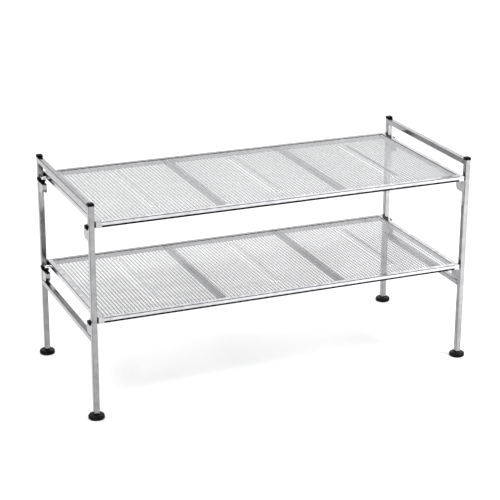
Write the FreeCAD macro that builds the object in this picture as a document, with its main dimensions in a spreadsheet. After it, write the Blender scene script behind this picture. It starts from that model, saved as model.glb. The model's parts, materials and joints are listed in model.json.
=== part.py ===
"""Two-tier shoe rack: two square-tube end frames and two mesh shelves that hang on pins in eight saddles.

X is the width, Y the depth (front at -Y) and Z is up.
The origin is on the floor, under the middle of the rack.
"""
import FreeCAD, Part
import math
import os

import Sketcher
from FreeCAD import Placement, Rotation, Vector

DRIVING_SIZES = [
    # alias, millimetres, meaning
    ("post_span_x", 639, "left to right, between post centres"),
    ("post_span_y", 272, "front to back, between post centres"),
    ("post_top", 346, "height of the cut top ends of the posts"),
    ("tube", 9, "outside width of every square tube"),
    ("wall", 1, "tube wall"),
    ("tube_corner", 1.2, "outside corner radius of a tube"),
    ("low_rail_top", 135, "height of the top of the lower cross rails"),
    ("low_shelf_top", 166.5, "height of the lower shelf's rails"),
    ("high_shelf_top", 320, "height of the upper shelf's rails"),
    ("shelf_gap", 2, "between a post and the shelf's side rail"),
    ("mesh_drop", 1, "mesh surface below the top of the rails"),
    ("mesh_sheet", 0.5, "thickness of the sheet that stands for the mesh"),
    ("rib_length", 202, "stiffening rib, end to end"),
    ("rib_width", 19, "stiffening rib, side to side"),
    ("rib_rise", 1.2, "height of the rib over the mesh"),
    ("brace_depth", 7.5, "height of a cross brace"),
    ("vent_radius", 1.5, "drain hole under each side rail"),
    ("pin_radius", 2.5, "support pin"),
    ("pin_drop", 6.5, "pin centre below the top of the rails"),
    ("pin_inset", 10, "elbow of the pin from the inner face of the post"),
    ("pin_tip_gap", 0.5, "tip of the pin from the inner face of the post"),
    ("run_clearance", 0.05, "radial clearance of pin and stud"),
    ("saddle_radius", 7.2, "round outside of the plastic saddle"),
    ("saddle_depth", 7, "plastic saddle, out from the post"),
    ("saddle_drop", 1.8, "centre of the saddle's round outside below the pin centre"),
    ("seat_edge", 2, "inner edge of the pin's seat from the pin centre"),
    ("saddle_rise", 0.5, "flat top of the saddle above the pin centre"),
    ("saddle_ledge", 5, "low inner side of the saddle below the pin centre"),
    ("bracket_width", 8, "bracket across the post"),
    ("bracket_reach", 20, "bracket out from the post"),
    ("bracket_height", 24, "bracket below the pin centre"),
    ("bracket_sheet", 1.2, "bracket metal"),
    ("bracket_round", 8, "radius of the bracket's lower outer corner"),
    ("fit_gap", 0.05, "clearance of plugs and saddles in their seats"),
    ("spacer_length", 8, "plastic spacer along the side rail"),
    ("spacer_height", 7.6, "plastic spacer, height"),
    ("spacer_thick", 1.7, "plastic spacer between side rail and post"),
    ("spacer_inset", 0.4, "plastic spacer from the end of the side rail"),
    ("cap_side", 10.2, "head of a post cap"),
    ("cap_height", 4.2, "head of a post cap"),
    ("cap_corner", 2, "corner radius of the cap"),
    ("cap_dome", 1.8, "rounding of the top of the cap"),
    ("plug_length", 12, "cap plug inside the post"),
    ("foot_radius", 13, "levelling foot"),
    ("foot_height", 7, "levelling foot"),
    ("foot_round", 3.4, "rounding round the top of the foot"),
    ("foot_base_round", 1.8, "rounding round the base of the foot"),
    ("foot_gap", 0.2, "between foot and post"),
    ("stud_radius", 2.5, "screw stud of the foot"),
    ("stud_seat", 4, "depth of the stud in the foot"),
    ("stud_length", 18, "stud from its seat to its tip"),
    ("stud_chamfer", 0.8, "chamfer round the tip of the stud"),
    ("insert_length", 15, "nut insert in the lower end of the post"),
    ("overrun", 2, "how far a cutting tool runs past what it cuts"),
]

BAYS = 3  # parts of a shelf between its side rails and braces, with one rib in each
ALONG_AXIS = 0.99  # an edge counts as lengthwise when its direction has this share along Z
EDGE_SLACK = 0.1
LEVEL_SLACK = 1e-4

SIDES = {"left": -1, "right": 1}
ENDS = {"front": -1, "rear": 1}
SHELVES = {"upper": "high_shelf_top", "lower": "low_shelf_top"}
CORNERS = [(end, side) for end in ENDS for side in SIDES]

ALONG_X = Rotation(Vector(0, 1, 0), 90)
ALONG_Y = Rotation(Vector(1, 0, 0), -90)
UPRIGHT = Rotation()

doc = FreeCAD.newDocument("ShoeRack")
sheet = doc.addObject("Spreadsheet::Sheet", "Dims")
for row, (alias, size, meaning) in enumerate(DRIVING_SIZES, start=1):
    sheet.set(f"A{row}", meaning)
    sheet.set(f"B{row}", str(size))
    sheet.setAlias(f"B{row}", alias)
doc.recompute()

nodes = []


def value(expression):
    """The present value of an expression in the sheet's aliases."""
    result = sheet.evalExpression(expression)
    return result.Value if hasattr(result, "Value") else float(result)


def bind(item, **expressions):
    """Bind properties of an object to expressions in the sheet's aliases."""
    for prop, expression in expressions.items():
        item.setExpression(prop, expression)
    return item


def place(item, x="0", y="0", z="0", rotation=UPRIGHT):
    """Turn an object, and bind its position to the sheet."""
    item.Placement = Placement(Vector(), rotation)
    for axis, expression in zip("xyz", (x, y, z)):
        item.setExpression(f"Placement.Base.{axis}", expression)
    return item


def node(item, label):
    """Name a finished sub-part and keep it for the export."""
    item.Label = label
    nodes.append(item)
    return item


def times(sign, expression):
    return f"{sign} * ({expression})"


# ---- features inside a PartDesign body -----------------------------------------------------------


def origin_feature(body, role):
    return next(feature for feature in body.Origin.OriginFeatures if feature.Role == role)


def new_sketch(body, role="XY_Plane"):
    sketch = body.newObject("Sketcher::SketchObject", "Sketch")
    sketch.AttachmentSupport = [(origin_feature(body, role), "")]
    sketch.MapMode = "FlatFace"
    return sketch


def dimension(sketch, constraint, name, expression):
    """Add one driving dimension to a sketch, bound to the sheet."""
    index = sketch.addConstraint(constraint)
    sketch.renameConstraint(index, name)
    sketch.setExpression(f"Constraints.{name}", expression)


def rectangle(sketch, name, width, height):
    """A rectangle centred on the sketch's origin."""
    half_x, half_y = value(width) / 2, value(height) / 2
    corners = [(-half_x, -half_y), (half_x, -half_y), (half_x, half_y), (-half_x, half_y)]
    first = sketch.GeometryCount
    for (x0, y0), (x1, y1) in zip(corners, corners[1:] + corners[:1]):
        sketch.addGeometry(Part.LineSegment(Vector(x0, y0, 0), Vector(x1, y1, 0)))
    for i in range(4):
        sketch.addConstraint(Sketcher.Constraint("Coincident", first + i, 2, first + (i + 1) % 4, 1))
    for i in range(2):
        sketch.addConstraint(Sketcher.Constraint("Horizontal", first + 2 * i))
        sketch.addConstraint(Sketcher.Constraint("Vertical", first + 2 * i + 1))
    sketch.addConstraint(Sketcher.Constraint("Symmetric", first, 1, first + 2, 1, -1, 1))
    dimension(sketch, Sketcher.Constraint("DistanceX", first, 1, first, 2, 2 * half_x), f"{name}_w", width)
    upright = Sketcher.Constraint("DistanceY", first + 1, 1, first + 1, 2, 2 * half_y)
    dimension(sketch, upright, f"{name}_h", height)


def circle(sketch, name, radius):
    """A circle centred on the sketch's origin."""
    size = value(radius)
    index = sketch.addGeometry(Part.Circle(Vector(), Vector(0, 0, 1), size))
    sketch.addConstraint(Sketcher.Constraint("Coincident", index, 3, -1, 1))
    dimension(sketch, Sketcher.Constraint("Radius", index, size), name, radius)


def pad(body, sketch, length, **options):
    feature = body.newObject("PartDesign::Pad", "Pad")
    feature.Profile = sketch
    for option, setting in options.items():
        setattr(feature, option, setting)
    bind(feature, Length=length)
    doc.recompute()
    return feature


def pocket(body, sketch, length, **options):
    before = body.Shape.Volume
    feature = body.newObject("PartDesign::Pocket", "Pocket")
    feature.Profile = sketch
    for option, setting in options.items():
        setattr(feature, option, setting)
    bind(feature, Length=length)
    doc.recompute()
    if body.Shape.Volume >= before:
        raise RuntimeError(f"a pocket in {body.Name} cuts nothing")
    return feature


def dress(body, kind, size, chosen):
    """Fillet or chamfer the edges of the body's tip that chosen(edge) picks."""
    base = body.Tip
    names = [f"Edge{i}" for i, edge in enumerate(base.Shape.Edges, start=1) if chosen(edge)]
    feature = body.newObject(f"PartDesign::{kind}", kind)
    feature.Base = (base, names)
    bind(feature, **{"Radius" if kind == "Fillet" else "Size": size})
    doc.recompute()
    return feature


def outer_long_edge(width, height):
    """Picks the four long outer edges of a bar or tube of this section, made along its own Z."""
    reach = math.hypot(value(width), value(height)) / 2

    def chosen(edge):
        middle = edge.valueAt((edge.FirstParameter + edge.LastParameter) / 2)
        lengthwise = abs(edge.tangentAt(edge.FirstParameter).z) > ALONG_AXIS
        return lengthwise and math.hypot(middle.x, middle.y) > reach - EDGE_SLACK

    return chosen


def level_edge(height):
    """Picks the edges that lie flat at this height of the body's own Z."""
    level = value(height)
    return lambda edge: all(abs(vertex.Z - level) < LEVEL_SLACK for vertex in edge.Vertexes)


# ---- tubes ---------------------------------------------------------------------------------------


def tube(label, length, x, y, z, rotation=UPRIGHT, depth="Dims.tube"):
    """An open square tube, made along its own Z from (x, y, z)."""
    body = doc.addObject("PartDesign::Body", "Tube")
    ring = new_sketch(body)
    rectangle(ring, "outer", "Dims.tube", depth)
    rectangle(ring, "inner", "Dims.tube - 2 * Dims.wall", f"{depth} - 2 * Dims.wall")
    pad(body, ring, length)
    dress(body, "Fillet", "Dims.tube_corner", outer_long_edge("Dims.tube", depth))
    return node(place(body, x, y, z, rotation), label)


def side_rail(label, length, x, y, z, rotation):
    """A square tube with closed ends and a drain hole below its middle."""
    body = doc.addObject("PartDesign::Body", "SideRail")
    outline = new_sketch(body)
    rectangle(outline, "outer", "Dims.tube", "Dims.tube")
    pad(body, outline, length)
    dress(body, "Fillet", "Dims.tube_corner", outer_long_edge("Dims.tube", "Dims.tube"))

    cavity = body.newObject("PartDesign::SubtractiveBox", "Cavity")
    bind(
        cavity,
        Length="Dims.tube - 2 * Dims.wall",
        Width="Dims.tube - 2 * Dims.wall",
        Height=f"{length} - 2 * Dims.wall",
    )
    place(cavity, "Dims.wall - Dims.tube / 2", "Dims.wall - Dims.tube / 2", "Dims.wall")

    vent = body.newObject("PartDesign::SubtractiveCylinder", "Vent")
    bind(vent, Radius="Dims.vent_radius", Height="Dims.tube / 2")
    place(vent, "0", "0", f"({length}) / 2", ALONG_Y)
    doc.recompute()
    return node(place(body, x, y, z, rotation), label)


POST_X = "Dims.post_span_x / 2"
POST_Y = "Dims.post_span_y / 2"
POST_BOTTOM = "Dims.foot_height + Dims.foot_gap"
BETWEEN_POSTS_Y = "Dims.post_span_y - Dims.tube"
FRAME_DEPTH = "Dims.post_span_y + Dims.tube"
SIDE_RAIL_X = f"{POST_X} - Dims.tube - Dims.shelf_gap"
RAIL_FACE_X = f"{SIDE_RAIL_X} + Dims.tube / 2"
INNER_WIDTH = f"2 * ({SIDE_RAIL_X}) - Dims.tube"
BAY = f"2 * ({SIDE_RAIL_X}) / {BAYS}"
POST_FACE_Y = f"{POST_Y} - Dims.tube / 2"
PIN_Y = f"{POST_FACE_Y} - Dims.pin_inset"
PLUG_SIDE = "Dims.tube - 2 * (Dims.wall + Dims.fit_gap)"


def end_frames():
    """Two end frames, each of two posts and two cross rails welded between them."""
    for end, side in CORNERS:
        tube(
            f"post_{end}_{side}",
            f"Dims.post_top - ({POST_BOTTOM})",
            times(SIDES[side], POST_X),
            times(ENDS[end], POST_Y),
            POST_BOTTOM,
        )
    for side, sign in SIDES.items():
        for name, top in (("top_rail", "Dims.post_top"), ("low_rail", "Dims.low_rail_top")):
            tube(
                f"{name}_{side}",
                BETWEEN_POSTS_Y,
                times(sign, POST_X),
                times(-1, f"({BETWEEN_POSTS_Y}) / 2"),
                f"{top} - Dims.tube / 2",
                ALONG_Y,
            )


# ---- small plastic and screw parts of the posts --------------------------------------------------


def post_cap(label, x, y):
    """A square cap with a rounded top, and a plug that is pressed into the post."""
    body = doc.addObject("PartDesign::Body", "Cap")
    head = new_sketch(body)
    rectangle(head, "head", "Dims.cap_side", "Dims.cap_side")
    pad(body, head, "Dims.cap_height")
    dress(body, "Fillet", "Dims.cap_corner", outer_long_edge("Dims.cap_side", "Dims.cap_side"))
    dress(body, "Fillet", "Dims.cap_dome", level_edge("Dims.cap_height"))
    plug = new_sketch(body)
    rectangle(plug, "plug", PLUG_SIDE, PLUG_SIDE)
    pad(body, plug, "Dims.plug_length", Reversed=True)
    return node(place(body, x, y, "Dims.post_top"), label)


def foot_insert(label, x, y):
    """The square nut insert in the lower end of a post."""
    body = doc.addObject("PartDesign::Body", "Insert")
    outline = new_sketch(body)
    rectangle(outline, "outline", PLUG_SIDE, PLUG_SIDE)
    pad(body, outline, "Dims.insert_length")
    bore = new_sketch(body)
    circle(bore, "bore", "Dims.stud_radius + Dims.run_clearance")
    pocket(body, bore, "Dims.insert_length", Reversed=True)
    return node(place(body, x, y, POST_BOTTOM), label)


def foot_pad(label, x, y):
    """The round plastic foot, with a blind seat for its stud."""
    body = doc.addObject("PartDesign::Body", "FootPad")
    disc = new_sketch(body)
    circle(disc, "disc", "Dims.foot_radius")
    pad(body, disc, "Dims.foot_height")
    dress(body, "Fillet", "Dims.foot_round", level_edge("Dims.foot_height"))
    dress(body, "Fillet", "Dims.foot_base_round", level_edge("0"))
    seat = new_sketch(body)
    bind(seat, **{"AttachmentOffset.Base.z": "Dims.foot_height"})
    circle(seat, "seat", "Dims.stud_radius")
    pocket(body, seat, "Dims.stud_seat")
    return node(place(body, x, y, "0"), label)


def foot_stud(label, x, y):
    """The screw stud, its thread left as a plain cylinder at the crest diameter."""
    body = doc.addObject("PartDesign::Body", "Stud")
    section = new_sketch(body)
    circle(section, "section", "Dims.stud_radius")
    pad(body, section, "Dims.stud_length")
    dress(body, "Chamfer", "Dims.stud_chamfer", level_edge("Dims.stud_length"))
    return node(place(body, x, y, "Dims.foot_height - Dims.stud_seat"), label)


def post_fittings():
    makers = {"cap": post_cap, "insert": foot_insert, "foot_pad": foot_pad, "foot_stud": foot_stud}
    for end, side in CORNERS:
        for name, make in makers.items():
            make(f"{name}_{end}_{side}", times(SIDES[side], POST_X), times(ENDS[end], POST_Y))


# ---- brackets and saddles that carry the shelves -------------------------------------------------


def bracket_profile(sketch):
    """Side view of a bracket, from the post face at the origin outwards, with a round lower corner."""
    reach, height, radius = (value(f"Dims.bracket_{name}") for name in ("reach", "height", "round"))
    lines = [
        ((0, 0), (0, -height)),
        ((0, -height), (reach - radius, -height)),
        ((reach, radius - height), (reach, 0)),
        ((reach, 0), (0, 0)),
    ]
    for start, stop in lines:
        sketch.addGeometry(Part.LineSegment(Vector(*start, 0), Vector(*stop, 0)))
    centre = Vector(reach - radius, radius - height, 0)
    sketch.addGeometry(Part.ArcOfCircle(Part.Circle(centre, Vector(0, 0, 1), radius), -math.pi / 2, 0))
    post_line, bottom, outer_line, top, corner = range(5)
    sketch.addConstraint(Sketcher.Constraint("Coincident", post_line, 1, -1, 1))
    sketch.addConstraint(Sketcher.Constraint("Coincident", post_line, 2, bottom, 1))
    sketch.addConstraint(Sketcher.Constraint("Coincident", outer_line, 2, top, 1))
    sketch.addConstraint(Sketcher.Constraint("Coincident", top, 2, post_line, 1))
    sketch.addConstraint(Sketcher.Constraint("Vertical", post_line))
    sketch.addConstraint(Sketcher.Constraint("Horizontal", bottom))
    sketch.addConstraint(Sketcher.Constraint("Vertical", outer_line))
    sketch.addConstraint(Sketcher.Constraint("Horizontal", top))
    sketch.addConstraint(Sketcher.Constraint("Tangent", bottom, 2, corner, 1))
    sketch.addConstraint(Sketcher.Constraint("Tangent", corner, 2, outer_line, 1))
    outwards = Sketcher.Constraint("DistanceX", top, 2, top, 1, reach)
    dimension(sketch, outwards, "reach", "Dims.bracket_reach")
    drop = Sketcher.Constraint("DistanceY", post_line, 2, post_line, 1, height)
    dimension(sketch, drop, "drop", "Dims.bracket_height")
    dimension(sketch, Sketcher.Constraint("Radius", corner, radius), "corner", "Dims.bracket_round")


def bracket(label, x, y, z, rotation):
    """A folded channel on the post: two leaves and an outer web, hollowed on top for the saddle."""
    body = doc.addObject("PartDesign::Body", "Bracket")
    profile = new_sketch(body, "YZ_Plane")
    bracket_profile(profile)
    pad(body, profile, "Dims.bracket_width", Midplane=True)

    channel = body.newObject("PartDesign::SubtractiveBox", "Channel")
    inside = "Dims.bracket_width - 2 * Dims.bracket_sheet"
    depth = "Dims.bracket_reach - Dims.bracket_sheet"
    bind(channel, Length=inside, Width=depth, Height="Dims.bracket_height")
    place(channel, f"-({inside}) / 2", "0", "-Dims.bracket_height")

    notch = body.newObject("PartDesign::SubtractiveCylinder", "Notch")
    bind(notch, Radius="Dims.saddle_radius + Dims.fit_gap", Height="Dims.bracket_reach")
    place(notch, "0", "0", "-Dims.saddle_drop", ALONG_Y)
    doc.recompute()
    return node(place(body, x, y, z, rotation), label)


def round_bar(axis, radius, length, x, y, z):
    """A cylinder along X or Y, centred on (x, y, z)."""
    item = doc.addObject("Part::Cylinder", "Round")
    bind(item, Radius=radius, Height=length)
    if axis == "X":
        return place(item, f"{x} - ({length}) / 2", y, z, ALONG_X)
    return place(item, x, f"{y} - ({length}) / 2", z, ALONG_Y)


def box(length, width, height, x, y, z):
    """A box centred on (x, y), standing on z."""
    item = doc.addObject("Part::Box", "Block")
    bind(item, Length=length, Width=width, Height=height)
    return place(item, f"{x} - ({length}) / 2", f"{y} - ({width}) / 2", z)


def saddle(label, side, end, z):
    """A round plastic block on the post, flat on top, with a pin seat open upwards and inwards."""
    x = times(side, POST_X)
    y = times(end, f"{POST_FACE_Y} - Dims.fit_gap - Dims.saddle_depth / 2")
    depth = "Dims.saddle_depth"
    block = round_bar("Y", "Dims.saddle_radius", depth, x, y, f"{z} - Dims.saddle_drop")

    bore_radius = "Dims.pin_radius + Dims.run_clearance"
    through = f"{depth} + Dims.overrun"
    across = "2 * Dims.saddle_radius"
    bore = round_bar("Y", bore_radius, through, x, y, z)
    mouth_x = times(side, f"{POST_X} + {bore_radius} - ({across}) / 2")
    mouth = box(across, through, across, mouth_x, y, z)
    inner_x = times(side, f"{POST_X} - Dims.seat_edge - ({across}) / 2")
    inner = box(across, through, across, inner_x, y, f"{z} - Dims.saddle_ledge")
    above = box(f"2 * ({across})", through, across, x, y, f"{z} + Dims.saddle_rise")
    opening = doc.addObject("Part::MultiFuse", "SaddleMouth")
    opening.Shapes = [bore, mouth, inner, above]

    cut = doc.addObject("Part::Cut", "Saddle")
    cut.Base = block
    cut.Tool = opening
    return node(cut, label)


def shelf_supports():
    """A bracket and a saddle on the inner face of each post, below each shelf corner."""
    turn = {"front": UPRIGHT, "rear": Rotation(Vector(0, 0, 1), 180)}
    for shelf, top in SHELVES.items():
        pin_z = f"Dims.{top} - Dims.pin_drop"
        for end, side in CORNERS:
            x = times(SIDES[side], POST_X)
            post_face = times(ENDS[end], POST_FACE_Y)
            bracket(f"bracket_{shelf}_{end}_{side}", x, post_face, pin_z, turn[end])
            saddle(f"saddle_{shelf}_{end}_{side}", SIDES[side], ENDS[end], pin_z)


# ---- shelves -------------------------------------------------------------------------------------


def slot(sketch, name, length, width):
    """A round-ended slot along the sketch's Y, centred on its origin."""
    radius = value(width) / 2
    straight = value(length) / 2 - radius
    far = Part.Circle(Vector(0, straight, 0), Vector(0, 0, 1), radius)
    near = Part.Circle(Vector(0, -straight, 0), Vector(0, 0, 1), radius)
    sketch.addGeometry(Part.LineSegment(Vector(radius, -straight, 0), Vector(radius, straight, 0)))
    sketch.addGeometry(Part.ArcOfCircle(far, 0, math.pi))
    sketch.addGeometry(Part.LineSegment(Vector(-radius, straight, 0), Vector(-radius, -straight, 0)))
    sketch.addGeometry(Part.ArcOfCircle(near, math.pi, 2 * math.pi))
    for i in range(4):
        sketch.addConstraint(Sketcher.Constraint("Tangent", i, 2, (i + 1) % 4, 1))
    sketch.addConstraint(Sketcher.Constraint("Vertical", 0))
    sketch.addConstraint(Sketcher.Constraint("Equal", 1, 3))
    sketch.addConstraint(Sketcher.Constraint("Symmetric", 1, 3, 3, 3, -1, 1))
    dimension(sketch, Sketcher.Constraint("Radius", 1, radius), f"{name}_r", f"({width}) / 2")
    between_centres = Sketcher.Constraint("DistanceY", 3, 3, 1, 3, 2 * straight)
    dimension(sketch, between_centres, f"{name}_l", f"({length}) - ({width})")


def mesh_panel(label, top):
    """The mesh as a closed thin sheet between the rails, with one round-ended rib raised in each bay."""
    body = doc.addObject("PartDesign::Body", "MeshPanel")
    outline = new_sketch(body)
    rectangle(outline, "sheet", INNER_WIDTH, BETWEEN_POSTS_Y)
    pad(body, outline, "Dims.mesh_sheet", Reversed=True)

    first_rib_x = f"-({BAYS} - 1) * ({BAY}) / 2"
    rib = new_sketch(body)
    slot(rib, "rib", "Dims.rib_length", "Dims.rib_width")
    bind(rib, **{"AttachmentOffset.Base.x": first_rib_x})
    raised = pad(body, rib, "Dims.rib_rise")

    hollow = new_sketch(body)
    slot(hollow, "hollow", "Dims.rib_length - 2 * Dims.mesh_sheet", "Dims.rib_width - 2 * Dims.mesh_sheet")
    offset = {"AttachmentOffset.Base.x": first_rib_x, "AttachmentOffset.Base.z": "-Dims.mesh_sheet"}
    bind(hollow, **offset)
    recess = pocket(body, hollow, "Dims.rib_rise", Reversed=True)

    ribs = body.newObject("PartDesign::LinearPattern", "Ribs")
    ribs.Originals = [raised, recess]
    ribs.Direction = (origin_feature(body, "X_Axis"), [""])
    ribs.Occurrences = BAYS
    bind(ribs, Length=f"({BAYS} - 1) * {BAY}")
    body.Tip = ribs
    doc.recompute()
    return node(place(body, "0", "0", f"{top} - Dims.mesh_drop"), label)


def corner_group(label, make):
    """One node that holds the same small piece at all four corners of a shelf."""
    group = doc.addObject("Part::Compound", "Group")
    group.Links = [make(SIDES[side], ENDS[end]) for end, side in CORNERS]
    return node(group, label)


def shelf(name, top):
    """A rectangle of square tube with two cross braces, the mesh, four bent pins and four spacers."""
    middle = f"{top} - Dims.tube / 2"
    brace_z = f"{top} - Dims.mesh_drop - Dims.mesh_sheet - Dims.brace_depth / 2"
    rail_start_y = f"-({FRAME_DEPTH}) / 2"
    for side, sign in SIDES.items():
        rail_x = times(sign, SIDE_RAIL_X)
        side_rail(f"{name}_side_rail_{side}", FRAME_DEPTH, rail_x, rail_start_y, middle, ALONG_Y)
        tube(
            f"{name}_brace_{side}",
            BETWEEN_POSTS_Y,
            times(sign, f"{BAY} / 2"),
            f"-({BETWEEN_POSTS_Y}) / 2",
            brace_z,
            ALONG_Y,
            depth="Dims.brace_depth",
        )
    rail_start_x = f"-({INNER_WIDTH}) / 2"
    for end, sign in ENDS.items():
        rail_y = times(sign, POST_Y)
        tube(f"{name}_{end}_rail", INNER_WIDTH, rail_start_x, rail_y, middle, ALONG_X)
    mesh_panel(f"{name}_mesh", top)

    def pin(side, end):
        radius = "Dims.pin_radius"
        x, y, z = times(side, POST_X), times(end, PIN_Y), f"{top} - Dims.pin_drop"
        outwards = f"({POST_X}) - ({RAIL_FACE_X})"
        along = "Dims.pin_inset - Dims.pin_tip_gap"
        elbow = bind(doc.addObject("Part::Sphere", "Elbow"), Radius=radius)
        rod = doc.addObject("Part::MultiFuse", "Pin")
        rod.Shapes = [
            round_bar("X", radius, outwards, times(side, f"({POST_X} + {RAIL_FACE_X}) / 2"), y, z),
            place(elbow, x, y, z),
            round_bar("Y", radius, along, x, times(end, f"{PIN_Y} + ({along}) / 2"), z),
        ]
        return rod

    def spacer(side, end):
        x = times(side, f"{RAIL_FACE_X} + Dims.spacer_thick / 2")
        y = times(end, f"({FRAME_DEPTH}) / 2 - Dims.spacer_inset - Dims.spacer_length / 2")
        z = f"{middle} - Dims.spacer_height / 2"
        return box("Dims.spacer_thick", "Dims.spacer_length", "Dims.spacer_height", x, y, z)

    corner_group(f"{name}_support_pins", pin)
    corner_group(f"{name}_spacers", spacer)


# ---- build, check and write ----------------------------------------------------------------------


def check():
    for item in doc.Objects:
        if {"Invalid", "Error"} & set(item.State):
            raise RuntimeError(f"{item.Label} failed: {item.State}")
    for item in nodes:
        if item.Shape.isNull() or not item.Shape.isValid():
            raise RuntimeError(f"{item.Label} has no valid shape")


def export():
    os.makedirs("parts", exist_ok=True)
    for item in nodes:
        item.Shape.exportStep(os.path.join("parts", f"{item.Label}.step"))


end_frames()
post_fittings()
shelf_supports()
for shelf_name, alias in SHELVES.items():
    shelf(shelf_name, f"Dims.{alias}")
doc.recompute()
check()
export()
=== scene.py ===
import json
import math

import bmesh
import bpy
from mathutils import Matrix, Vector


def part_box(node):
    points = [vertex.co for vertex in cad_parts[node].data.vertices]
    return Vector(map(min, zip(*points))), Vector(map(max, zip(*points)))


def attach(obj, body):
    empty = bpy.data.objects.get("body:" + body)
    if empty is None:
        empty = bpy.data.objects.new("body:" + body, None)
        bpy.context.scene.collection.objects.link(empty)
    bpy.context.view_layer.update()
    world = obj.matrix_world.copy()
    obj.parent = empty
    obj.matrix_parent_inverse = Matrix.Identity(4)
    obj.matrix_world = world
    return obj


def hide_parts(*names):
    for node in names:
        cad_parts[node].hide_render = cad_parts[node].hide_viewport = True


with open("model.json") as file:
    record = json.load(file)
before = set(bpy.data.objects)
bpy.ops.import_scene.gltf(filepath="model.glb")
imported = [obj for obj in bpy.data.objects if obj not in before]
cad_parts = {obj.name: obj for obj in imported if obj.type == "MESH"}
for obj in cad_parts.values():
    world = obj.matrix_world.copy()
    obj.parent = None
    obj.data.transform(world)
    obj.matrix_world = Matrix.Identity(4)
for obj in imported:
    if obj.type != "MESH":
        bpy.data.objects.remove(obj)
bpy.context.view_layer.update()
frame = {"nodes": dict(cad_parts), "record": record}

# Two-tier shoe rack. Metres, in the CAD's frame: X right, Y to the rear, Z up, the floor at 0.

MM = 0.001
NODES = frame["nodes"]
SHELVES = ("upper", "lower")
SIDES = ("left", "right")

# ---- shader helpers ------------------------------------------------------------------------------


def new_material(name, color, metallic, roughness):
    """A material with a Principled shader, and coordinates in metres fixed to the object."""
    material = bpy.data.materials.new(name)
    material.use_nodes = True
    tree = material.node_tree
    shader = tree.nodes["Principled BSDF"]
    shader.inputs["Base Color"].default_value = (*color, 1)
    shader.inputs["Metallic"].default_value = metallic
    shader.inputs["Roughness"].default_value = roughness
    coords = tree.nodes.new("ShaderNodeTexCoord").outputs["Object"]
    return material, tree, shader, coords


def noise(tree, coords, scale, detail, stretch=(1, 1, 1)):
    """Noise with this many features per metre, drawn out along an axis by a small stretch."""
    mapping = tree.nodes.new("ShaderNodeMapping")
    mapping.inputs["Scale"].default_value = stretch
    tree.links.new(coords, mapping.inputs["Vector"])
    texture = tree.nodes.new("ShaderNodeTexNoise")
    texture.inputs["Scale"].default_value = scale
    texture.inputs["Detail"].default_value = detail
    tree.links.new(mapping.outputs["Vector"], texture.inputs["Vector"])
    return texture.outputs["Fac"]


def spread(tree, factor, low, high, start=0.3, stop=0.7):
    """Maps a factor's middle range, start to stop, onto low to high."""
    node = tree.nodes.new("ShaderNodeMapRange")
    node.inputs["From Min"].default_value = start
    node.inputs["From Max"].default_value = stop
    node.inputs["To Min"].default_value = low
    node.inputs["To Max"].default_value = high
    tree.links.new(factor, node.inputs["Value"])
    return node.outputs["Result"]


def blend_colors(tree, factor, first, second):
    """Goes from the first color to the second, each a color or a socket, as the factor rises."""
    node = tree.nodes.new("ShaderNodeMix")
    node.data_type = "RGBA"
    tree.links.new(factor, node.inputs["Factor"])
    for name, color in (("A", first), ("B", second)):
        socket = next(s for s in node.inputs if s.name == name and s.type == "RGBA")
        if isinstance(color, bpy.types.NodeSocket):
            tree.links.new(color, socket)
        else:
            socket.default_value = (*color, 1)
    return next(s for s in node.outputs if s.type == "RGBA")


def add(tree, first, second):
    node = tree.nodes.new("ShaderNodeMath")
    node.operation = "ADD"
    tree.links.new(first, node.inputs[0])
    tree.links.new(second, node.inputs[1])
    return node.outputs[0]


def bump(tree, shader, layers):
    """Stacks bump layers of (height factor, depth in metres) under the shader's normal."""
    normal = None
    for height, depth in layers:
        node = tree.nodes.new("ShaderNodeBump")
        node.inputs["Distance"].default_value = depth
        tree.links.new(height, node.inputs["Height"])
        if normal is not None:
            tree.links.new(normal, node.inputs["Normal"])
        normal = node.outputs["Normal"]
    tree.links.new(normal, shader.inputs["Normal"])


def arrises(tree):
    """A factor that rises where a surface faces between the axes, as the edges of square work do."""
    parts = tree.nodes.new("ShaderNodeSeparateXYZ")
    tree.links.new(tree.nodes.new("ShaderNodeNewGeometry").outputs["Normal"], parts.inputs["Vector"])
    largest = parts.outputs["X"]
    for operation, other in (("ABSOLUTE", None), ("MAXIMUM", "Y"), ("MAXIMUM", "Z")):
        node = tree.nodes.new("ShaderNodeMath")
        node.operation = operation
        tree.links.new(largest, node.inputs[0])
        if other:
            size = tree.nodes.new("ShaderNodeMath")
            size.operation = "ABSOLUTE"
            tree.links.new(parts.outputs[other], size.inputs[0])
            tree.links.new(size.outputs[0], node.inputs[1])
        largest = node.outputs[0]
    # a flat face has its largest part near 1, and a rounded edge has it well below
    return spread(tree, largest, low=0, high=1, start=0.97, stop=0.85)


# ---- materials -----------------------------------------------------------------------------------

# how bright each run of plating is, from 0 to 1: painted light and shade, lit and shaded copies of one
# chrome standing in for the reflections each run catches
FRAME_PAINTED_LIGHT_LEVEL = 0.28
# the colour of the frame's rounded edges: painted dark reflection lines
FRAME_PAINTED_EDGE_SHADE_LEVEL = 0.12
SIDE_RAIL_PAINTED_LIGHT_LEVEL = 0.42
BRACE_PAINTED_SHADE_LEVEL = 0.25
FRONT_RAIL_PAINTED_LIGHT_LEVEL = 0.5
PIN_PAINTED_HIGHLIGHT_LEVEL = 0.85
# the colour of the shelf parts' rounded edges: painted dark reflection lines
SHELF_PAINTED_EDGE_SHADE_LEVEL = 0.015
# hazy and clear places, as shares of that
HAZY_SHARE = 0.82
CLEAR_SHARE = 1.16
BLUE_CAST = 1.02  # blue over red

# the dark lower edge of a shelf's front rail, a painted dark reflection: its height, blur and colour
PAINTED_LOWER_REFLECTION = 3.8 * MM
PAINTED_LOWER_REFLECTION_BLUR = 0.7 * MM
PAINTED_LOWER_REFLECTION_COLOR = (0.006, 0.006, 0.006)

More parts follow.
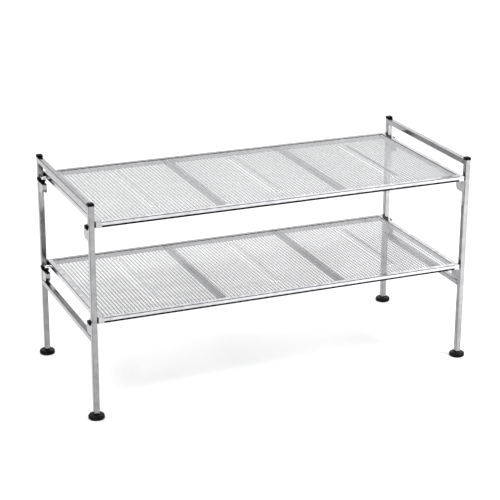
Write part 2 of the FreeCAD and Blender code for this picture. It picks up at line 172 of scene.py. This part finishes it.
# relief too fine to be modelled
WAVE_DEPTH = 0.25 * MM
DRAW_LINE_DEPTH = 0.008 * MM
UNEVEN_STRAND_DEPTH = 0.06 * MM
STEEL_GRAIN_DEPTH = 0.01 * MM
MOULD_GRAIN_DEPTH = 0.02 * MM
SCUFF_DEPTH = 0.02 * MM
TURNING_DEPTH = 0.02 * MM

BLACK_TINT = (0.004, 0.004, 0.0043)
FOOT_TINT = (0.003, 0.003, 0.0033)
NYLON_TINT = (0.03, 0.03, 0.031)
# a scuff is this many times brighter than the plastic, and a little more
SCUFF_GAIN = 2.2
SCUFF_LIFT = 0.003


def chrome(name, level, painted_edge_shade_level, painted_reflection_top=0):
    """Chrome plate over drawn steel: draw lines, waviness, haze, arrises of another level painted in as
    dark reflection lines, and, where the last argument gives a height, a painted dark reflection along the
    lower edge up to it."""
    material, tree, shader, coords = new_material(name, (level, level, level), metallic=1, roughness=0.12)
    waves = noise(tree, coords, scale=34, detail=2)
    haze = noise(tree, coords, scale=90, detail=5)
    draw_lines = noise(tree, coords, scale=1400, detail=2, stretch=(1, 1, 0.02))
    hazy = (level * HAZY_SHARE, level * HAZY_SHARE, level * HAZY_SHARE * BLUE_CAST)
    clear = (level * CLEAR_SHARE, level * CLEAR_SHARE, level * CLEAR_SHARE * BLUE_CAST)
    cloudy = blend_colors(tree, spread(tree, haze, low=0, high=1), hazy, clear)
    # rounded edges take the edge level: painted dark reflection lines
    color = blend_colors(tree, arrises(tree), cloudy, (painted_edge_shade_level,) * 3)
    # a painted dark reflection along the lower edge, up to the given height
    if painted_reflection_top:
        parts = tree.nodes.new("ShaderNodeSeparateXYZ")
        tree.links.new(coords, parts.inputs["Vector"])
        blur_bottom = painted_reflection_top - PAINTED_LOWER_REFLECTION_BLUR
        painted_reflection_mask = spread(tree, parts.outputs["Z"], low=0, high=1, start=painted_reflection_top, stop=blur_bottom)
        color = blend_colors(tree, painted_reflection_mask, color, PAINTED_LOWER_REFLECTION_COLOR)
    tree.links.new(color, shader.inputs["Base Color"])
    hazy_rough = spread(tree, haze, low=0.07, high=0.17)
    drawn_rough = spread(tree, draw_lines, low=0, high=0.05)
    tree.links.new(add(tree, hazy_rough, drawn_rough), shader.inputs["Roughness"])
    bump(tree, shader, [(waves, WAVE_DEPTH), (draw_lines, DRAW_LINE_DEPTH)])
    return material


def mesh_steel():
    """Bright plated expanded steel, a little frosted, each strand slightly uneven."""
    middle, dark, light = (0.28, 0.283, 0.288), (0.22, 0.223, 0.227), (0.335, 0.338, 0.343)
    material, tree, shader, coords = new_material("mesh_steel", middle, metallic=1, roughness=0.3)
    strands = noise(tree, coords, scale=260, detail=3)
    grain = noise(tree, coords, scale=2600, detail=2)
    color = blend_colors(tree, spread(tree, strands, low=0, high=1), dark, light)
    tree.links.new(color, shader.inputs["Base Color"])
    tree.links.new(spread(tree, grain, low=0.20, high=0.36), shader.inputs["Roughness"])
    bump(tree, shader, [(strands, UNEVEN_STRAND_DEPTH), (grain, STEEL_GRAIN_DEPTH)])
    return material


def black_plastic(name, tint, roughness, gloss):
    """Injection-moulded black plastic: fine mould grain and faint greyer scuffs."""
    material, tree, shader, coords = new_material(name, tint, metallic=0, roughness=roughness)
    shader.inputs["Specular IOR Level"].default_value = gloss
    scuffs = noise(tree, coords, scale=500, detail=5, stretch=(1, 1, 0.25))
    grain = noise(tree, coords, scale=5200, detail=2)
    scuffed = tuple(channel * SCUFF_GAIN + SCUFF_LIFT for channel in tint)
    where = spread(tree, scuffs, low=0, high=1, start=0.45, stop=0.75)
    color = blend_colors(tree, where, tint, scuffed)
    tree.links.new(color, shader.inputs["Base Color"])
    rough = spread(tree, scuffs, low=roughness - 0.06, high=roughness + 0.16)
    tree.links.new(rough, shader.inputs["Roughness"])
    bump(tree, shader, [(grain, MOULD_GRAIN_DEPTH), (scuffs, SCUFF_DEPTH)])
    return material


def screw_steel():
    """Zinc plate with a faint yellow-blue cast and turning marks round the screw."""
    middle, yellow, blue = (0.6, 0.61, 0.63), (0.60, 0.60, 0.56), (0.60, 0.63, 0.69)
    material, tree, shader, coords = new_material("zinc_screw", middle, metallic=1, roughness=0.3)
    cast = noise(tree, coords, scale=220, detail=3)
    turning = noise(tree, coords, scale=3000, detail=2, stretch=(0.03, 0.03, 1))
    color = blend_colors(tree, spread(tree, cast, low=0, high=1), yellow, blue)
    tree.links.new(color, shader.inputs["Base Color"])
    tree.links.new(spread(tree, turning, low=0.22, high=0.42), shader.inputs["Roughness"])
    bump(tree, shader, [(turning, TURNING_DEPTH)])
    return material


MATERIALS = {
    "chrome_tube": chrome("chrome_plate", FRAME_PAINTED_LIGHT_LEVEL, FRAME_PAINTED_EDGE_SHADE_LEVEL),
    "mesh_steel": mesh_steel(),
    "black_plastic": black_plastic("black_plastic", BLACK_TINT, roughness=0.3, gloss=0.02),
    "foot_plastic": black_plastic("foot_plastic", FOOT_TINT, roughness=0.26, gloss=0.06),
    "insert_plastic": black_plastic("insert_nylon", NYLON_TINT, roughness=0.5, gloss=0.3),
    "screw_steel": screw_steel(),
}
# the shelf's front and side rails and its pins are painted brighter than the posts, its braces and rear
# rail
# a little darker: painted light and shade standing in for the reflections each part catches, the pins'
# level a painted highlight
SIDE_CHROME = chrome("chrome_plate_side", SIDE_RAIL_PAINTED_LIGHT_LEVEL, SHELF_PAINTED_EDGE_SHADE_LEVEL)
BRACE_CHROME = chrome("chrome_plate_brace", BRACE_PAINTED_SHADE_LEVEL, SHELF_PAINTED_EDGE_SHADE_LEVEL)
PIN_CHROME = chrome("chrome_plate_pins", PIN_PAINTED_HIGHLIGHT_LEVEL, PIN_PAINTED_HIGHLIGHT_LEVEL)
SHELF_PAINTED_LIGHT_CHROME = {}
for shelf_name in SHELVES:
    for side in SIDES:
        SHELF_PAINTED_LIGHT_CHROME[f"{shelf_name}_side_rail_{side}"] = SIDE_CHROME
        SHELF_PAINTED_LIGHT_CHROME[f"{shelf_name}_brace_{side}"] = BRACE_CHROME
    SHELF_PAINTED_LIGHT_CHROME[f"{shelf_name}_rear_rail"] = BRACE_CHROME
    SHELF_PAINTED_LIGHT_CHROME[f"{shelf_name}_support_pins"] = PIN_CHROME
    front_rail = f"{shelf_name}_front_rail"
    # top of the painted dark reflection along the front rail's lower edge
    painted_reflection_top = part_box(front_rail)[0].z + PAINTED_LOWER_REFLECTION
    front_chrome = chrome(f"chrome_plate_{front_rail}", FRONT_RAIL_PAINTED_LIGHT_LEVEL, SHELF_PAINTED_EDGE_SHADE_LEVEL, painted_reflection_top)
    SHELF_PAINTED_LIGHT_CHROME[front_rail] = front_chrome
SLOT_OF = {part["node"]: part["material_slot"] for part in frame["record"]["subparts"]}


def finish_cad_nodes():
    """Gives every carried-over CAD node the procedural material of its slot, or its own chrome of a painted
    brightness.
    """
    for name, item in NODES.items():
        item.data.materials.clear()
        item.data.materials.append(SHELF_PAINTED_LIGHT_CHROME.get(name, MATERIALS[SLOT_OF[name]]))


def make_piece(name, shape, body, slot, smooth=False):
    """Turns a bmesh into a piece that rides on a body and takes a slot's material."""
    data = bpy.data.meshes.new(name)
    shape.to_mesh(data)
    shape.free()
    if smooth:
        data.polygons.foreach_set("use_smooth", [True] * len(data.polygons))
    data.materials.append(MATERIALS[slot])
    item = bpy.data.objects.new(name, data)
    bpy.context.scene.collection.objects.link(item)
    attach(item, body)
    return item


# ---- expanded mesh -------------------------------------------------------------------------------

STRANDS = 104  # side by side across the shelf
BENDS = 100  # of each strand, front to rear
STRAND_WIDTH = 2.4 * MM
STRAND_THICK = 0.5 * MM
STRAND_TILT = math.radians(10)
STRAND_SECTION = ((-0.5, 0), (0.5, 0), (0.5, -1), (-0.5, -1))  # corners, in widths and thicknesses
RIB_LENGTH = 202 * MM
RIB_WIDTH = 19 * MM
RIB_SLOPE = 3 * MM


def rib_profile(x, y, centres, rise):
    """Height of the mesh over its flat level, where round-ended ribs are pressed up into it."""
    half_width = RIB_WIDTH / 2
    past_end = max(abs(y) - (RIB_LENGTH / 2 - half_width), 0)
    aside = min(abs(x - centre) for centre in centres)
    inside = half_width - math.hypot(aside, past_end)
    share = min(max(inside / RIB_SLOPE, 0), 1)
    # the slope starts and ends gently
    return rise * share * share * (3 - 2 * share)


def strand(shape, points, surface):
    """A flat strand along points that follows a surface, tilted about Y as the cut sheet is."""
    rings = []
    for x, y in points:
        ring = []
        for across, up in STRAND_SECTION:
            at = x + across * STRAND_WIDTH
            tilt = (across - 0.5) * STRAND_WIDTH * math.tan(STRAND_TILT)
            ring.append(shape.verts.new((at, y, surface(at, y) + tilt + up * STRAND_THICK)))
        rings.append(ring)
    for near, far in zip(rings, rings[1:]):
        for corner in range(len(STRAND_SECTION)):
            following = (corner + 1) % len(STRAND_SECTION)
            shape.faces.new((near[corner], near[following], far[following], far[corner]))
    shape.faces.new(rings[0][::-1])
    shape.faces.new(rings[-1])


def expanded_mesh(shelf):
    """Diamond mesh of strands that zigzag from front to rear and meet their neighbours at the bends."""
    low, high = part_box(f"{shelf}_mesh")
    # the flat face lies under the ribs, level with the top of the braces plus the sheet
    flat_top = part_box(f"{shelf}_brace_left")[1].z + STRAND_THICK
    rise = high.z - flat_top
    # a rib lies halfway between the braces, and one in the bay on each side of them
    left, right = (sum(corner.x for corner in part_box(f"{shelf}_brace_{side}")) / 2 for side in SIDES)
    centres = (left * 2, (left + right) / 2, right * 2)

    def surface(x, y):
        return flat_top + rib_profile(x, y, centres, rise)

    pitch = (high.x - low.x) / STRANDS
    step = (high.y - low.y) / BENDS
    # the outermost strands stay inside the rails
    swing = (pitch - STRAND_WIDTH) / 2
    shape = bmesh.new()
    for index in range(STRANDS):
        middle = low.x + (index + 0.5) * pitch
        points = []
        for bend in range(BENDS + 1):
            side = swing if (bend + index) % 2 else -swing
            points.append((middle + side, low.y + bend * step))
        strand(shape, points, surface)
    piece = make_piece(f"{shelf}_expanded_mesh", shape, f"{shelf}_shelf", "mesh_steel")
    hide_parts(f"{shelf}_mesh")


# ---- welds ---------------------------------------------------------------------------------------

WELD_RADIUS = 0.9 * MM
WELD_POINTS = 6  # round the bead
WELD_INSET = 1.4 * MM  # from the edges of the tube
RIPPLE_LENGTH = 0.8 * MM
RIPPLE_SWELL = 0.16  # of the radius, out and in by turns
FEWEST_RIPPLES = 4
WELD_END_TAPER = 0.55  # of the radius


def weld_line(shape, start, stop):
    """A rippled bead between two points, closed at both ends."""
    start, stop = Vector(start), Vector(stop)
    along = (stop - start).normalized()
    turn = along.to_track_quat("Z", "Y").to_matrix().to_4x4()
    ripples = max(int((stop - start).length / RIPPLE_LENGTH), FEWEST_RIPPLES)
    rings = []
    for i in range(ripples + 1):
        taper = WELD_END_TAPER if i in (0, ripples) else 1
        swell = WELD_RADIUS * (1 + RIPPLE_SWELL * (-1) ** i) * taper
        centre = start.lerp(stop, i / ripples)
        ring = []
        for k in range(WELD_POINTS):
            angle = 2 * math.pi * k / WELD_POINTS
            offset = turn @ Vector((swell * math.cos(angle), swell * math.sin(angle), 0))
            ring.append(shape.verts.new(centre + offset))
        rings.append(ring)
    for near, far in zip(rings, rings[1:]):
        for k in range(WELD_POINTS):
            following = (k + 1) % WELD_POINTS
            shape.faces.new((near[k], near[following], far[following], far[k]))
    shape.faces.new(rings[0][::-1])
    shape.faces.new(rings[-1])


def end_frame_welds():
    """Beads where the cross rails meet the posts: below the upper rail, and on both sides of the lower."""
    for side in SIDES:
        for rail in ("top_rail", "low_rail"):
            low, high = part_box(f"{rail}_{side}")
            shape = bmesh.new()
            levels = [low.z] if rail == "top_rail" else [low.z, high.z]
            for y in (low.y, high.y):
                for z in levels:
                    weld_line(shape, (low.x + WELD_INSET, y, z), (high.x - WELD_INSET, y, z))
            make_piece(f"{rail}_{side}_welds", shape, "frame", "chrome_tube", smooth=True)


def brace_welds():
    """Beads under the ends of every cross brace, where it meets the front and rear rails."""
    for shelf in SHELVES:
        shape = bmesh.new()
        for side in SIDES:
            low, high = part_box(f"{shelf}_brace_{side}")
            for y in (low.y, high.y):
                weld_line(shape, (low.x + WELD_INSET, y, low.z), (high.x - WELD_INSET, y, low.z))
        make_piece(f"{shelf}_brace_welds", shape, f"{shelf}_shelf", "chrome_tube", smooth=True)


# ---- stage, light and camera ---------------------------------------------------------------------

FLOOR_REACH = 30  # metres each way

WORLD_STRENGTH = 2.6
SKY_CAST = 1.01  # blue over red
SOFTBOX_DIRECTION = (0.52, 0.76, 0.46)
SURROUNDINGS = [
    # how nearly a direction faces the softbox, brightness
    (0.0, 0.14),
    (0.60, 0.22),
    (0.90, 0.36),
    (0.98, 0.55),
]
LIGHTS = [
    # name, place, aim, size, watts, spread in degrees
    ("overhead", (-1.0, 0.3, 2.6), (-0.2, 0.0, 0.1), (2.0, 2.2), 40, 180),
    ("key", (-1.6, -1.4, 2.2), (0.0, -0.3, 0.1), (1.2, 1.2), 20, 180),
    ("sweep", (1.6, 5.4, 4.6), (1.6, 5.4, 0.0), (8.0, 6.0), 290, 180),
    ("front_fill", (1.3, -1.3, 1.9), (0.9, -0.7, 0.0), (1.6, 1.2), 18, 180),
    ("right_beam", (1.9, -1.7, 2.6), (0.75, -0.62, 0.0), (0.7, 0.7), 7, 36),
]


def floor():
    """A wide pale floor with very faint clouds of shade."""
    shape = bmesh.new()
    bmesh.ops.create_grid(shape, x_segments=1, y_segments=1, size=FLOOR_REACH)
    data = bpy.data.meshes.new("floor")
    shape.to_mesh(data)
    shape.free()
    item = bpy.data.objects.new("floor", data)
    bpy.context.scene.collection.objects.link(item)
    middle, dark, light = (0.93, 0.93, 0.93), (0.925, 0.925, 0.925), (0.94, 0.94, 0.94)
    material, tree, shader, coords = new_material("pale_floor", middle, metallic=0, roughness=0.75)
    clouds = noise(tree, coords, scale=3, detail=2)
    color = blend_colors(tree, spread(tree, clouds, low=0, high=1), dark, light)
    tree.links.new(color, shader.inputs["Base Color"])
    data.materials.append(material)


def area_light(name, at, aim, size, power, spread_angle):
    """A rectangular light at a place, aimed at a point."""
    data = bpy.data.lights.new(name, "AREA")
    data.shape = "RECTANGLE"
    data.size, data.size_y = size
    data.energy = power
    data.spread = math.radians(spread_angle)
    item = bpy.data.objects.new(name, data)
    bpy.context.scene.collection.objects.link(item)
    item.location = at
    item.rotation_mode = "QUATERNION"
    item.rotation_quaternion = (Vector(aim) - Vector(at)).to_track_quat("-Z", "Y")


def studio():
    """Surroundings that brighten towards a softbox above the right rear, and the lights."""
    world = bpy.data.worlds.new("studio")
    world.use_nodes = True
    tree = world.node_tree
    background = tree.nodes["Background"]
    direction = tree.nodes.new("ShaderNodeTexCoord").outputs["Generated"]
    towards_light = tree.nodes.new("ShaderNodeVectorMath")
    towards_light.operation = "DOT_PRODUCT"
    towards_light.inputs[1].default_value = Vector(SOFTBOX_DIRECTION).normalized()
    tree.links.new(direction, towards_light.inputs[0])
    ramp = tree.nodes.new("ShaderNodeValToRGB")
    steps = ramp.color_ramp.elements
    steps.remove(steps[-1])
    for index, (place, level) in enumerate(SURROUNDINGS):
        element = steps.new(place) if index else steps[0]
        element.position = place
        element.color = (level, level, level * SKY_CAST, 1)
    tree.links.new(towards_light.outputs["Value"], ramp.inputs["Fac"])
    tree.links.new(ramp.outputs["Color"], background.inputs["Color"])
    background.inputs["Strength"].default_value = WORLD_STRENGTH
    bpy.context.scene.world = world
    for light in LIGHTS:
        area_light(*light)


CAMERA_AT = (-0.982, -2.291, 1.092)
CAMERA_YAW = 23.1  # degrees from +Y towards +X
CAMERA_PITCH = 19.95  # degrees below the horizon
CAMERA_ROLL = 0.36  # degrees
CAMERA_LENS = 115.2  # mm
SENSOR = 36  # mm


def camera():
    """Stands in front and to the left of the rack and looks down at it."""
    data = bpy.data.cameras.new("camera")
    data.lens, data.sensor_width = CAMERA_LENS, SENSOR
    item = bpy.data.objects.new("camera", data)
    bpy.context.scene.collection.objects.link(item)
    aim = Matrix.Rotation(math.radians(-CAMERA_YAW), 4, "Z")
    tilt = Matrix.Rotation(math.radians(90 - CAMERA_PITCH), 4, "X")
    roll = Matrix.Rotation(math.radians(CAMERA_ROLL), 4, "Z")
    item.matrix_world = Matrix.Translation(CAMERA_AT) @ aim @ tilt @ roll
    bpy.context.scene.camera = item


# ---- everything ----------------------------------------------------------------------------------

bpy.context.scene.view_settings.view_transform = "Standard"
camera()
studio()
floor()
finish_cad_nodes()
for shelf_name in SHELVES:
    expanded_mesh(shelf_name)
end_frame_welds()
brace_welds()
